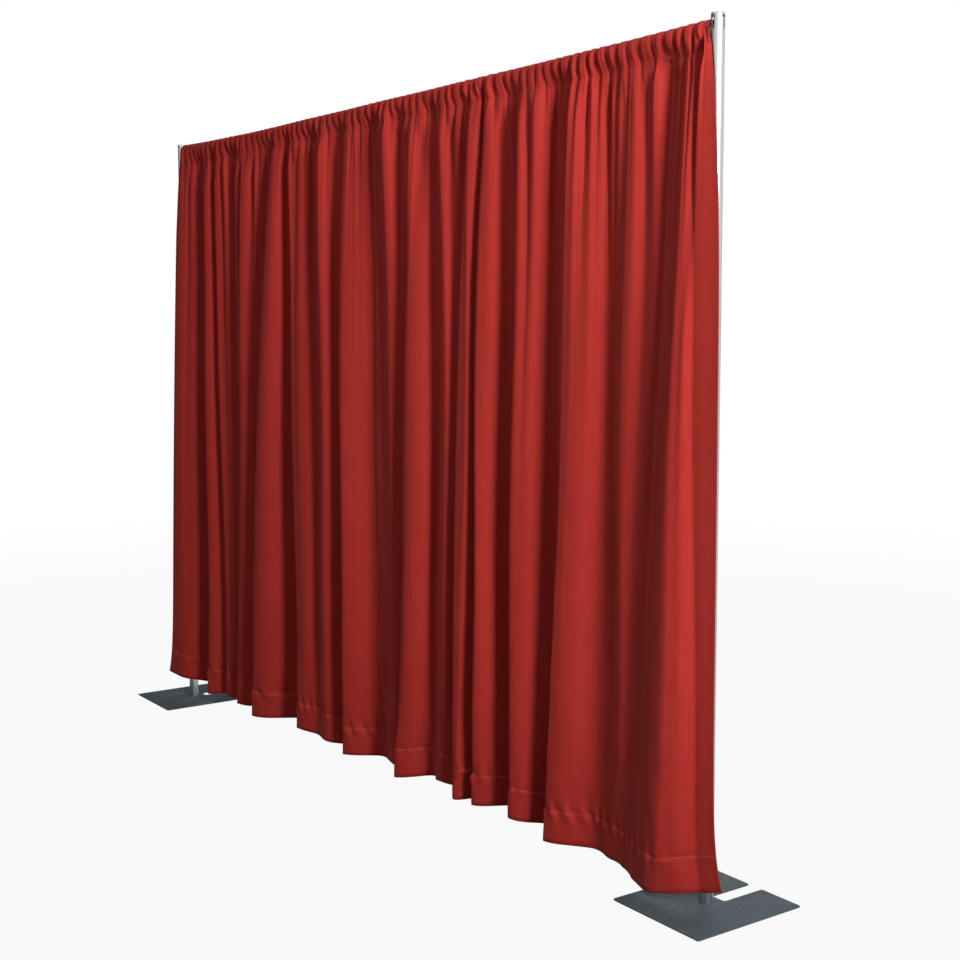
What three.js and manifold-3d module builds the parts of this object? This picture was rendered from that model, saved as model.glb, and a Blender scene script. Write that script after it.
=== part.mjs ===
// Pipe and drape backdrop: two slotted floor plates with pins, two slip-fit uprights, a telescoping
// crossbar hooked into the slots at their tops, and three drapes hanging on it by their rod pockets.
// Millimetres. +X runs along the crossbar, -Y is the front, +Z is up, and the floor is at zero.

import * as THREE from 'three';
import { mergeVertices } from 'three/addons/utils/BufferGeometryUtils.js';
import Module from 'manifold-3d';

const wasm = await Module();
wasm.setup();

// The whole backdrop
const uprightSpacing = 3048;
const topHeight = 2438.4;
const seatGap = 0.3;
const cutOverrun = 6;
const roundSides = 32;

// Floor plates, turned a little about their pins as they were set down
const plateWidth = 343;
const plateDepth = 393;
const plateThickness = 4.8;
const plateCornerRadius = 5;
const plateTurn = THREE.MathUtils.degToRad(-4);
const nestSlotWidth = 50;
const nestSlotInnerEnd = 46;
const nestSlotCornerRadius = 8;

// Uprights
const uprightRadius = 19.05;
const uprightWall = 1.65;
const capCrown = 2.4;
const capSpigotDepth = 4;
const capEdgeRadius = 2;

// Slots at the top of an upright, one on each of its four sides
const slotWidth = 8;
const slotHeight = 35;
const slotInset = 5;
const slotCornerRadius = 1.2;

// Base pins, each held by a countersunk bolt from under its plate
const pinRadius = 16.7;
const pinWall = 3.2;
const pinHeight = 178;
const pinFootThickness = 12;
const pinLeadIn = 3;
const boltShankRadius = 4.76;
const boltHeadRadius = 9;
const boltRecess = 0.3;
const boltSocketRadius = 3.2;
const boltSocketDepth = 2.6;
const boltReach = 11;
const threadGap = 0.24;

// Crossbar tubes
const outerBarRadius = 15.875;
const outerBarWall = 1.25;
const outerBarLength = 1700;
const innerBarRadius = 12.7;
const innerBarWall = 1.65;
const innerBarLength = 1500;
const beadWidth = 8;
const beadDepth = 1.35;

// Hooks at the ends of the crossbar, and the rivets that hold them in it
const hookThickness = 5;
const hookFlangeThickness = 3;
const hookSpigotDepth = 38;
const hookTongueHeight = 15;
const hookSeatDrop = 4;
const hookLipDrop = 12;
const hookLipThickness = 4;
const hookRootDrop = 12;
const hookWallPlay = 1;
const hookReach = 12;
const hookCorner = 1.5;
const rivetRadius = 2.4;
const rivetHeadRadius = 4.4;
const rivetHeadHeight = 1.3;

// Plastic fittings of the telescoping joint
const bushLength = 30;
const bushFlangeThickness = 3;
const bushRunningGap = 0.3;
const stopFlangeThickness = 3;
const stopSpigotDepth = 18;

// Drapes
const clothThickness = 2.4;
const pocketSideRoom = 2;
const pocketDrop = 58;
const pocketEndGap = 2.5;
const panelGap = 3;
const pleatDepth = 1.5;
const foldReach = 62;
const foldReturn = 46;
const hemClearance = 48;
const hemRise = 62;

// Heights of a drape's rings of points, as shares of its drop from the pocket's seam to the hem
const dropShares = [1, 0.955, 0.65, 0.35, 0.1, 0];
// Stations from one crest to the next, and from an edge to the crest beside it
const crestSteps = 6;
const edgeSteps = 3;
// How far down the pocket the hollow for the bar reaches, and where its shoulders stand
const pocketHollowShare = 0.7;
const pocketShoulderShare = 0.85;

// Sizes that follow from these
const uprightAxis = uprightSpacing / 2;
const uprightBore = uprightRadius - uprightWall;
const uprightTop = topHeight - capCrown;
const slotTop = uprightTop - slotInset;
const slotBottom = slotTop - slotHeight;
const barHeight = slotBottom + hookSeatDrop;
const barEnd = uprightAxis - uprightRadius - hookReach - hookFlangeThickness;
const outerBarMouth = outerBarLength - barEnd;
const innerBarStart = barEnd - innerBarLength;
const outerBarBore = outerBarRadius - outerBarWall;
const innerBarBore = innerBarRadius - innerBarWall;
const pocketEnd = uprightAxis - uprightRadius - pocketEndGap;

// Each drape is a row of marks: an edge, its crests from left to right, and its other edge.
// A mark's places along the bar are shares of half the upright spacing, at the rod pocket and at the
// hem; its reaches are shares of foldReach there, and the valleys between crests go back as the same
// shares of foldReturn; its rise is a share of hemRise. An edge with a settle share spreads early.
const endShare = pocketEnd / uprightAxis;
const leftSplitShare = -0.484;
const rightSplitShare = 0.325;
const leftMarkShares = [
  { top: -endShare, hem: -1.054, topReach: 0.38, hemReach: 0.62, rise: 1.0 },
  { top: -0.958, hem: -1.010, topReach: 0.42, hemReach: 0.95, rise: 0.8 },
  { top: -0.852, hem: -0.854, topReach: 0.40, hemReach: 0.80, rise: 0.35 },
  { top: -0.779, hem: -0.768, topReach: 0.42, hemReach: 0.30, rise: 0.3 },
  { top: -0.650, hem: -0.678, topReach: 0.45, hemReach: 0.90, rise: 0.35 },
  { top: leftSplitShare, hem: -0.580, topReach: -0.05, hemReach: -0.35, rise: 0.3 },
];
const middleMarkShares = [
  { top: leftSplitShare, hem: -0.594, topReach: 0.30, hemReach: 0.80, rise: 0.15 },
  { top: -0.470, hem: -0.578, topReach: 0.42, hemReach: 1.0, rise: 0.1 },
  { top: -0.389, hem: -0.361, topReach: 0.42, hemReach: 0.90, rise: 0.3 },
  { top: -0.257, hem: -0.240, topReach: 0.40, hemReach: 0.75, rise: 0.3 },
  { top: -0.145, hem: -0.146, topReach: 0.45, hemReach: 1.0, rise: 0.05 },
  { top: 0.008, hem: 0.030, topReach: 0.45, hemReach: 0.25, rise: 0.2 },
  { top: 0.127, hem: 0.073, topReach: 0.45, hemReach: 1.0, rise: 0.0 },
  { top: 0.219, hem: 0.205, topReach: 0.42, hemReach: 0.30, rise: 0.1 },
  { top: rightSplitShare, hem: 0.300, topReach: 0.0, hemReach: -0.35, rise: 0.1 },
];
const rightMarkShares = [
  { top: rightSplitShare, hem: 0.284, topReach: 0.35, hemReach: 0.85, rise: 0.1 },
  { top: 0.336, hem: 0.294, topReach: 0.42, hemReach: 0.90, rise: 0.05 },
  { top: 0.378, hem: 0.357, topReach: 0.42, hemReach: 0.90, rise: 0.15 },
  { top: 0.496, hem: 0.481, topReach: 0.42, hemReach: 0.90, rise: 0.2 },
  { top: 0.648, hem: 0.602, topReach: 0.45, hemReach: 1.0, rise: -0.25 },
  { top: 0.787, hem: 0.762, topReach: 0.42, hemReach: 0.60, rise: 0.1 },
  { top: 0.945, hem: 0.888, topReach: 0.45, hemReach: 1.0, rise: -0.4 },
  { top: endShare, hem: 1.067, topReach: 0.38, hemReach: 0.50, rise: -0.1, settle: 0.4 },
];

const materials = {
  plate: { color: 0x4a5359, roughness: 0.42, metalness: 0.35 },
  pin: { color: 0x9a9fa4, roughness: 0.38, metalness: 0.9 },
  zinc: { color: 0x8d9196, roughness: 0.4, metalness: 0.9 },
  aluminium: { color: 0xd9d9d4, roughness: 0.3, metalness: 0.9 },
  cap: { color: 0xcfcfca, roughness: 0.5, metalness: 0.0 },
  bush: { color: 0x1d1f21, roughness: 0.6, metalness: 0.0 },
  cloth: { color: 0xb02a22, roughness: 0.95, metalness: 0.0 },
};

const group = new THREE.Group();

// Adds one named piece with its own material to a parent, by default the whole backdrop
function addPiece(name, finish, geometry, parent = group) {
  const mesh = new THREE.Mesh(geometry, new THREE.MeshStandardMaterial(materials[finish]));
  mesh.name = name;
  parent.add(mesh);
  return mesh;
}

// A closed geometry as a solid that can be joined and cut
function toSolid(geometry) {
  const bare = geometry.index ? geometry.clone() : geometry;
  bare.deleteAttribute('normal');
  bare.deleteAttribute('uv');
  const merged = mergeVertices(bare);
  return new wasm.Manifold(new wasm.Mesh({
    numProp: 3,
    vertProperties: new Float32Array(merged.attributes.position.array),
    triVerts: new Uint32Array(merged.index.array),
  }));
}

function toGeometry(solid) {
  const shape = solid.getMesh();
  const geometry = new THREE.BufferGeometry();
  geometry.setAttribute('position', new THREE.BufferAttribute(new Float32Array(shape.vertProperties), 3));
  geometry.setIndex(new THREE.BufferAttribute(new Uint32Array(shape.triVerts), 1));
  geometry.computeVertexNormals();
  return geometry;
}

function cut(geometry, ...cutters) {
  let solid = toSolid(geometry);
  for (const cutter of cutters) {
    solid = solid.subtract(toSolid(cutter));
  }
  return toGeometry(solid);
}

function join(geometry, ...others) {
  let solid = toSolid(geometry);
  for (const other of others) {
    solid = solid.add(toSolid(other));
  }
  return toGeometry(solid);
}

// A turned shape about +Z; each profile point is [radius, height]
function turned(profile) {
  const points = profile.map(([radius, height]) => new THREE.Vector2(radius, height));
  return new THREE.LatheGeometry(points, roundSides).rotateX(Math.PI / 2);
}

// A turned shape about +X, its profile's heights running along +X
function turnedAlongX(profile) {
  return turned(profile).rotateY(Math.PI / 2);
}

// A flat outline of [across, up] points with rounded corners, each corner [across, up, radius]
function roundedOutline(corners) {
  const shape = new THREE.Shape();
  corners.forEach(([x, y, radius], index) => {
    const here = new THREE.Vector2(x, y);
    const before = new THREE.Vector2(...corners[(index + corners.length - 1) % corners.length]);
    const after = new THREE.Vector2(...corners[(index + 1) % corners.length]);
    const start = here.clone().add(before.sub(here).setLength(radius));
    const end = here.clone().add(after.sub(here).setLength(radius));
    if (index === 0) {
      shape.moveTo(start.x, start.y);
    } else {
      shape.lineTo(start.x, start.y);
    }
    if (radius > 0) {
      shape.quadraticCurveTo(here.x, here.y, end.x, end.y);
    }
  });
  shape.closePath();
  return shape;
}

// An outline in X and Y pushed up along +Z
function slab(shape, thickness, curveSegments = 4) {
  return new THREE.ExtrudeGeometry(shape, { depth: thickness, bevelEnabled: false, curveSegments });
}

// A floor plate: a sheet of steel with a nesting slot open to its back edge, and a countersunk hole
function plateGeometry() {
  const side = plateWidth / 2;
  const end = plateDepth / 2;
  const slotSide = nestSlotWidth / 2;
  const outline = roundedOutline([
    [-side, -end, plateCornerRadius],
    [side, -end, plateCornerRadius],
    [side, end, plateCornerRadius],
    [slotSide, end, plateCornerRadius],
    [slotSide, nestSlotInnerEnd, nestSlotCornerRadius],
    [-slotSide, nestSlotInnerEnd, nestSlotCornerRadius],
    [-slotSide, end, plateCornerRadius],
    [-side, end, plateCornerRadius],
  ]);
  // The hole follows the bolt's head with the same gap all round, measured across the cone
  const coneGap = seatGap * Math.SQRT2;
  const coneHeight = boltHeadRadius - boltShankRadius;
  const countersink = turned([
    [0, -cutOverrun],
    [boltHeadRadius + coneGap + boltRecess + cutOverrun, -cutOverrun],
    [boltShankRadius + coneGap, boltRecess + coneHeight],
    [boltShankRadius + coneGap, plateThickness + cutOverrun],
    [0, plateThickness + cutOverrun],
  ]);
  return cut(slab(outline, plateThickness), countersink);
}

// A flat-head bolt with a six-sided socket, head down
function boltGeometry() {
  const shankTop = plateThickness + boltReach;
  const body = turned([
    [0, boltRecess],
    [boltHeadRadius, boltRecess],
    [boltShankRadius, boltRecess + boltHeadRadius - boltShankRadius],
    [boltShankRadius, shankTop],
    [0, shankTop],
  ]);
  const socket = new THREE.CylinderGeometry(boltSocketRadius, boltSocketRadius, 2 * boltSocketDepth, 6)
    .rotateX(Math.PI / 2)
    .translate(0, 0, boltRecess);
  return cut(body, socket);
}

// A base pin: a tube with a thick foot bored for the bolt, and a lead-in at its top
function pinGeometry() {
  const foot = plateThickness;
  const top = foot + pinHeight;
  const bore = pinRadius - pinWall;
  const boltHole = boltShankRadius + threadGap;
  return turned([
    [boltHole, foot],
    [pinRadius, foot],
    [pinRadius, top - pinLeadIn],
    [pinRadius - pinWall / 2, top],
    [bore, top],
    [bore, foot + pinFootThickness],
    [boltHole, foot + pinFootThickness],
    [boltHole, foot],
  ]);
}

// An upright: a plain tube with four hook slots near its top
function uprightGeometry() {
  const tube = turned([
    [uprightBore, plateThickness],
    [uprightRadius, plateThickness],
    [uprightRadius, uprightTop],
    [uprightBore, uprightTop],
    [uprightBore, plateThickness],
  ]);
  const side = slotWidth / 2;
  const reach = uprightRadius + cutOverrun;
  const outline = roundedOutline([
    [-side, slotBottom, slotCornerRadius],
    [side, slotBottom, slotCornerRadius],
    [side, slotTop, slotCornerRadius],
    [-side, slotTop, slotCornerRadius],
  ]);
  const throughY = slab(outline, 2 * reach, 2).rotateX(Math.PI / 2).translate(0, reach, 0);
  const throughX = throughY.clone().rotateZ(Math.PI / 2);
  return cut(tube, throughY, throughX);
}

// A cap that closes an upright: a crown with a rounded edge, and a short spigot inside the tube
function capGeometry() {
  const spigot = uprightBore - seatGap;
  const profile = [
    [0, uprightTop - capSpigotDepth],
    [spigot, uprightTop - capSpigotDepth],
    [spigot, uprightTop],
    [uprightRadius, uprightTop],
  ];
  for (const turnShare of [0, 1 / 3, 2 / 3, 1]) {
    const angle = turnShare * Math.PI / 2;
    profile.push([
      uprightRadius - capEdgeRadius * (1 - Math.cos(angle)),
      topHeight - capEdgeRadius * (1 - Math.sin(angle)),
    ]);
  }
  profile.push([0, topHeight]);
  return turned(profile);
}

// The larger crossbar tube, with a rolled bead inside which the smaller one's stop comes to rest
function outerBarGeometry() {
  const beadStart = innerBarStart + seatGap;
  const beadEnd = beadStart + beadWidth;
  const beadShoulder = beadWidth / 4;
  const profile = [
    [outerBarBore, -barEnd],
    [outerBarRadius, -barEnd],
    [outerBarRadius, beadStart],
    [outerBarRadius - beadDepth, beadStart + beadShoulder],
    [outerBarRadius - beadDepth, beadEnd - beadShoulder],
    [outerBarRadius, beadEnd],
    [outerBarRadius, outerBarMouth],
    [outerBarBore, outerBarMouth],
    [outerBarBore, beadEnd],
    [outerBarBore - beadDepth, beadEnd - beadShoulder],
    [outerBarBore - beadDepth, beadStart],
    [outerBarBore, beadStart],
    [outerBarBore, -barEnd],
  ];
  return cut(turnedAlongX(profile), rivetHole(-1));
}

function innerBarGeometry() {
  const profile = [
    [innerBarBore, innerBarStart],
    [innerBarRadius, innerBarStart],
    [innerBarRadius, barEnd],
    [innerBarBore, barEnd],
    [innerBarBore, innerBarStart],
  ];
  return cut(turnedAlongX(profile), rivetHole(1));
}

// The hole across a tube's end for its rivet; end is 1 at the right and -1 at the left
function rivetHole(end) {
  const length = 2 * (outerBarRadius + cutOverrun);
  return new THREE.CylinderGeometry(rivetRadius + seatGap, rivetRadius + seatGap, length, roundSides / 2)
    .translate(end * (barEnd - hookSpigotDepth / 2), 0, 0);
}

function rivetGeometry(end, barRadius) {
  const seat = barRadius + seatGap / 3;
  const crown = seat + rivetHeadHeight;
  const shoulder = seat + rivetHeadHeight / 2;
  const profile = [
    [0, -crown],
    [rivetHeadRadius / 2, -crown],
    [rivetHeadRadius, -shoulder],
    [rivetHeadRadius, -seat],
    [rivetRadius, -seat],
    [rivetRadius, seat],
    [rivetHeadRadius, seat],
    [rivetHeadRadius, shoulder],
    [rivetHeadRadius / 2, crown],
    [0, crown],
  ];
  const points = profile.map(([radius, height]) => new THREE.Vector2(radius, height));
  const rivetPlace = end * (barEnd - hookSpigotDepth / 2);
  return new THREE.LatheGeometry(points, roundSides / 2).translate(rivetPlace, 0, 0);
}

// A hook: a spigot and flange in the tube's end, and a flat tongue that drops over a slot's lower edge
function hookGeometry(end, barRadius, barBore) {
  const flangeFace = barEnd + hookFlangeThickness;
  const wallOutside = uprightAxis - uprightRadius;
  const wallInside = uprightAxis - uprightBore;
  const tip = wallInside + hookWallPlay + hookLipThickness;
  const root = barEnd + hookFlangeThickness / 2;
  const seat = -hookSeatDrop;
  const outline = roundedOutline([
    [root, -hookRootDrop, 0],
    [wallOutside - hookWallPlay, -hookRootDrop, hookCorner],
    [wallOutside - hookWallPlay, seat, 0],
    [wallInside + hookWallPlay, seat, 0],
    [wallInside + hookWallPlay, seat - hookLipDrop, 0],
    [tip, seat - hookLipDrop, hookCorner],
    [tip, seat + hookTongueHeight, hookCorner],
    [root, seat + hookTongueHeight, 0],
  ]);
  const tongue = slab(outline, hookThickness, 2)
    .translate(0, 0, -hookThickness / 2)
    .rotateX(Math.PI / 2);
  const plug = turnedAlongX([
    [0, barEnd - hookSpigotDepth],
    [barBore - seatGap, barEnd - hookSpigotDepth],
    [barBore - seatGap, barEnd],
    [barRadius, barEnd],
    [barRadius, flangeFace],
    [0, flangeFace],
  ]);
  const hook = cut(join(plug, tongue), rivetHole(1));
  return end > 0 ? hook : hook.rotateZ(Math.PI);
}

// The bush at the larger tube's mouth that guides the smaller tube
function bushGeometry() {
  const bore = innerBarRadius + bushRunningGap;
  return turnedAlongX([
    [bore, outerBarMouth - bushLength],
    [outerBarBore - seatGap, outerBarMouth - bushLength],
    [outerBarBore - seatGap, outerBarMouth],
    [outerBarRadius, outerBarMouth],
    [outerBarRadius, outerBarMouth + bushFlangeThickness],
    [bore, outerBarMouth + bushFlangeThickness],
    [bore, outerBarMouth - bushLength],
  ]);
}

// The plug in the smaller tube's hidden end, whose flange runs in the larger tube and meets its bead
function stopPlugGeometry() {
  return turnedAlongX([
    [0, innerBarStart - stopFlangeThickness],
    [outerBarBore - seatGap, innerBarStart - stopFlangeThickness],
    [outerBarBore - seatGap, innerBarStart],
    [innerBarBore - seatGap, innerBarStart],
    [innerBarBore - seatGap, innerBarStart + stopSpigotDepth],
    [0, innerBarStart + stopSpigotDepth],
  ]);
}

// One station across a drape: how it stands between two marks, and which side its pleat goes
function drapeStations(marks) {
  const stations = [];
  const last = marks.length - 1;
  for (let index = 0; index < last; index += 1) {
    const atEdge = index === 0 || index === last - 1;
    const steps = atEdge ? edgeSteps : crestSteps;
    for (let step = 0; step < steps; step += 1) {
      stations.push({ from: marks[index], to: marks[index + 1], share: step / steps, atEdge });
    }
  }
  stations.push({ from: marks[last - 1], to: marks[last], share: 1, atEdge: true });
  return stations;
}

// Where a station stands at a share of the drop, from 1 at the pocket's seam to 0 at the hem
function placeAt(station, dropShare) {
  const { from, to, share, atEdge } = station;
  const mix = (start, finish) => THREE.MathUtils.lerp(start, finish, share);
  const reachOf = (mark) => THREE.MathUtils.lerp(mark.hemReach, mark.topReach, dropShare);
  const alongOf = (mark) => THREE.MathUtils.lerp(mark.top, mark.hem, (1 - dropShare) ** (mark.settle ?? 1));
  const wave = Math.cos(2 * Math.PI * share);
  const ease = (1 - Math.cos(Math.PI * share)) / 2;
  let forward = 0;
  if (atEdge) {
    forward = foldReach * THREE.MathUtils.lerp(reachOf(from), reachOf(to), ease);
  } else {
    const swing = mix(reachOf(from), reachOf(to));
    forward = wave > 0 ? foldReach * swing * wave : foldReturn * swing * wave;
  }
  return { x: uprightAxis * mix(alongOf(from), alongOf(to)), y: -forward };
}

// Half the cloth's thickness towards its front, square to the line from one place to another
function halfWallAcross(from, to) {
  const length = Math.hypot(to.x - from.x, to.y - from.y);
  const half = clothThickness / 2;
  return [half * (to.y - from.y) / length, half * (from.x - to.x) / length];
}

// A drape: one sheet that hangs in folds, with its top turned over the bar into a rod pocket
function drapeGeometry(marks, leftInset, rightInset) {
  const seam = barHeight - pocketDrop;
  const stations = drapeStations(marks);
  const outer = [];
  const inner = [];
  stations.forEach((station, index) => {
    const { from, to, share } = station;
    const before = stations[Math.max(index - 1, 0)];
    const onLargerTube = placeAt(before, 1).x < outerBarMouth + bushFlangeThickness;
    const barRadius = onLargerTube ? outerBarRadius : innerBarRadius;
    const side = barRadius + pocketSideRoom;
    const shoulder = pocketShoulderShare * barRadius;
    const crown = barRadius + seatGap;
    const endInset = index === 0 ? leftInset : index === stations.length - 1 ? -rightInset : 0;
    const pleat = index % 2 === 0 ? pleatDepth : 0;
    const hem = hemClearance + hemRise * THREE.MathUtils.lerp(from.rise, to.rise, share);
    const front = [];
    const back = [];
    const after = stations[Math.min(index + 1, stations.length - 1)];
    for (const dropShare of [...dropShares].reverse()) {
      const { x, y } = placeAt(station, dropShare);
      const z = THREE.MathUtils.lerp(hem, seam, dropShare);
      const [sideways, forward] = halfWallAcross(placeAt(before, dropShare), placeAt(after, dropShare));
      front.push([x + endInset + sideways, y + forward, z]);
      back.push([x + endInset - sideways, y - forward, z]);
    }
    const top = placeAt(station, 1);
    const x = top.x + endInset;
    const wall = side + clothThickness + pleat;
    outer.push([
      ...front,
      [x, -wall, barHeight - shoulder],
      [x, -wall, barHeight + shoulder],
      [x, 0, barHeight + crown + clothThickness + pleat],
      [x, wall, barHeight + shoulder],
      [x, wall, barHeight - shoulder],
      ...back.reverse(),
    ]);
    inner.push([
      [x, top.y * pocketHollowShare, barHeight - pocketDrop * pocketHollowShare],
      [x, -side, barHeight - shoulder],
      [x, -side, barHeight + shoulder],
      [x, 0, barHeight + crown],
      [x, side, barHeight + shoulder],
      [x, side, barHeight - shoulder],
    ]);
  });
  return skinOver(outer, inner);
}

// A closed skin over two runs of rings, one outside and one lining the pocket, capped at both ends.
// An outside ring runs up the front, over the pocket and down the back; a lining ring starts at the
// bottom of the pocket and runs the same way round. The back's faces are split along the same
// lines as the front's, so that the two sides of the cloth keep even with each other.
function skinOver(outer, inner) {
  const positions = [...outer, ...inner].flat(2);
  const outerCount = outer[0].length;
  const innerCount = inner[0].length;
  const innerFirst = outer.length * outerCount;
  const faces = [];
  const addQuad = (a, b, c, d, turned) => {
    faces.push(...(turned ? [a, c, b, a, d, c] : [a, b, c, a, c, d]));
  };
  const addWalls = (ringCount, count, first, lining, backFrom) => {
    for (let ring = 0; ring < ringCount - 1; ring += 1) {
      for (let point = 0; point < count; point += 1) {
        const here = first + ring * count + point;
        const next = first + ring * count + (point + 1) % count;
        const corners = [here, here + count, next + count, next];
        if (point >= backFrom) {
          corners.unshift(corners.pop());
        }
        addQuad(...corners, lining);
      }
    }
  };
  addWalls(outer.length, outerCount, 0, false, outerCount - dropShares.length);
  addWalls(inner.length, innerCount, innerFirst, true, innerCount);
  const addCap = (ring, facesRight) => {
    const outside = (point) => ring * outerCount + point;
    const lining = (point) => innerFirst + ring * innerCount + point % innerCount;
    const seam = dropShares.length - 1;
    const last = outerCount - 1;
    for (let level = 0; level < seam; level += 1) {
      addQuad(
        outside(level), outside(level + 1), outside(last - level - 1), outside(last - level), facesRight,
      );
    }
    for (let point = 0; point < innerCount; point += 1) {
      addQuad(
        outside(seam + point), outside(seam + point + 1), lining(point + 1), lining(point), facesRight,
      );
    }
    const closing = [outside(seam), lining(0), outside(last - seam)];
    faces.push(...(facesRight ? closing.reverse() : closing));
  };
  addCap(0, false);
  addCap(outer.length - 1, true);
  const geometry = new THREE.BufferGeometry();
  geometry.setAttribute('position', new THREE.Float32BufferAttribute(positions, 3));
  geometry.setIndex(faces);
  geometry.computeVertexNormals();
  return geometry;
}

for (const [side, place] of [['left', -uprightAxis], ['right', uprightAxis]]) {
  const post = new THREE.Group();
  post.position.x = place;
  group.add(post);
  addPiece(`base_plate_${side}`, 'plate', plateGeometry(), post).rotation.z = plateTurn;
  addPiece(`base_bolt_${side}`, 'zinc', boltGeometry(), post);
  addPiece(`base_pin_${side}`, 'pin', pinGeometry(), post);
  addPiece(`upright_tube_${side}`, 'aluminium', uprightGeometry(), post);
  addPiece(`upright_cap_${side}`, 'cap', capGeometry(), post);
}

const crossbar = new THREE.Group();
crossbar.position.z = barHeight;
group.add(crossbar);
addPiece('crossbar_outer_tube', 'aluminium', outerBarGeometry(), crossbar);
addPiece('crossbar_inner_tube', 'aluminium', innerBarGeometry(), crossbar);
addPiece('crossbar_guide_bush', 'bush', bushGeometry(), crossbar);
addPiece('crossbar_stop_plug', 'bush', stopPlugGeometry(), crossbar);
addPiece('crossbar_hook_left', 'zinc', hookGeometry(-1, outerBarRadius, outerBarBore), crossbar);
addPiece('crossbar_hook_right', 'zinc', hookGeometry(1, innerBarRadius, innerBarBore), crossbar);
addPiece('hook_rivet_left', 'zinc', rivetGeometry(-1, outerBarRadius), crossbar);
addPiece('hook_rivet_right', 'zinc', rivetGeometry(1, innerBarRadius), crossbar);

addPiece('drape_left', 'cloth', drapeGeometry(leftMarkShares, 0, panelGap / 2));
addPiece('drape_middle', 'cloth', drapeGeometry(middleMarkShares, panelGap / 2, panelGap / 2));
addPiece('drape_right', 'cloth', drapeGeometry(rightMarkShares, panelGap / 2, 0));

export default group;
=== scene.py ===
# %% [markdown]
# # A pipe and drape backdrop
# Two steel floor plates carry two slip-fit aluminium uprights. A telescoping crossbar hooks
# into slots near their tops, and three red drapes hang on it by their rod pockets.
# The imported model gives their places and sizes, in metres, so it is loaded first.

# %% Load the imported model
from math import cos, hypot, pi, radians, sin

import bmesh
import bpy
import numpy as np
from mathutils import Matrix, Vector


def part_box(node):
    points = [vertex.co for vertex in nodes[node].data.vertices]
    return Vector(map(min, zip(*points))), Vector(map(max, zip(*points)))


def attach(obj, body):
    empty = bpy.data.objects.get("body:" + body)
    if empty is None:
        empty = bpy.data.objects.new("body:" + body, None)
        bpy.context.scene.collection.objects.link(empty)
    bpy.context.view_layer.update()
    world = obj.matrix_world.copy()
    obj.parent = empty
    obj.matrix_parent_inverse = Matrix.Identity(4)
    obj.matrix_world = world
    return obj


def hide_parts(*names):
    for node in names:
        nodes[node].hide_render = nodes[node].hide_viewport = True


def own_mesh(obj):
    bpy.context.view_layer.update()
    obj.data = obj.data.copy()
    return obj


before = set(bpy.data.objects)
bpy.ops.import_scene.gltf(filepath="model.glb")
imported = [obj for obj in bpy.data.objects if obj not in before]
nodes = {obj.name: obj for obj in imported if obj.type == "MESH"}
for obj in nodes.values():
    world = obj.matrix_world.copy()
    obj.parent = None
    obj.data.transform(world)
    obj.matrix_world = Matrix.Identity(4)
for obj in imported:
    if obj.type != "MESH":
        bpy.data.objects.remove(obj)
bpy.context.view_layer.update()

# %% [markdown]
# ## Sizes
# What another piece has to meet is read from the model: axes, the bar's height and radii.
# Sizes that no box shows, such as a tube's wall, are the trade's.

# %% Read the sizes
upright_low, upright_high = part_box("upright_tube_right")
bar_low, bar_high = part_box("crossbar_outer_tube")
upright_axis = (upright_low.x + upright_high.x) / 2
upright_radius = (upright_high.x - upright_low.x) / 2
upright_wall = 0.00165
bar_height = (bar_low.z + bar_high.z) / 2
bar_radius = (bar_high.z - bar_low.z) / 2
posts = {"left": -upright_axis, "right": upright_axis}
print(f"uprights {2 * upright_axis:.3f} m apart, bar at {bar_height:.3f} m")

# %% [markdown]
# ## Camera
# The photograph was taken from the right end at standing eye height. The place, the turn and
# the lens were solved from the vanishing lines of the uprights and the crossbar.

# %% Set the camera
camera_place = (4.0516, -2.8714, 1.5508)
camera_turn = 50.87
camera_tilt = 5.35
camera_roll = 0.12
camera_lens = 52.05
camera_sensor = 36

camera_data = bpy.data.cameras.new("photo_camera")
camera_data.lens = camera_lens
camera_data.sensor_width = camera_sensor
camera = bpy.data.objects.new("photo_camera", camera_data)
camera.location = camera_place
camera.rotation_euler = [radians(a) for a in (90 - camera_tilt, camera_roll, camera_turn)]
bpy.context.scene.collection.objects.link(camera)
bpy.context.scene.camera = camera
bpy.context.scene.view_settings.view_transform = "Standard"
print("camera stands at", camera_place)

# %% [markdown]
# ## Shader helpers
# A material is a small tree of nodes. These helpers add a node and fill its sockets, each with
# a value or a wire from another node, so that each finish below reads as a recipe.

# %% Helpers for shader trees
def feed(tree, socket, value):
    """Wire another node's output into a socket, or give the socket a fixed value."""
    if isinstance(value, bpy.types.NodeSocket):
        tree.links.new(value, socket)
    else:
        socket.default_value = value


def fill(tree, node, **values):
    """Feed a node's sockets by their names."""
    for name, value in values.items():
        feed(tree, node.inputs[name.replace("_", " ")], value)


def add_node(tree, kind, settings=None, **values):
    """A new shader node with its settings and its sockets' values or wires."""
    node = tree.nodes.new("ShaderNode" + kind)
    for name, value in (settings or {}).items():
        setattr(node, name, value)
    fill(tree, node, **values)
    return node


def math_node(tree, operation, *operands):
    """A Math node; each operand is a number or a socket."""
    node = add_node(tree, "Math", {"operation": operation})
    for socket, operand in zip(node.inputs, operands):
        feed(tree, socket, operand)
    return node.outputs[0]


def ranged(tree, value, low, high, to_low=0.0, to_high=1.0, curve="LINEAR"):
    """Stretch the range of a value from low to high to another range."""
    node = add_node(tree, "MapRange", {"interpolation_type": curve}, Value=value)
    fill(tree, node, From_Min=low, From_Max=high, To_Min=to_low, To_Max=to_high)
    return node.outputs["Result"]


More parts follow.
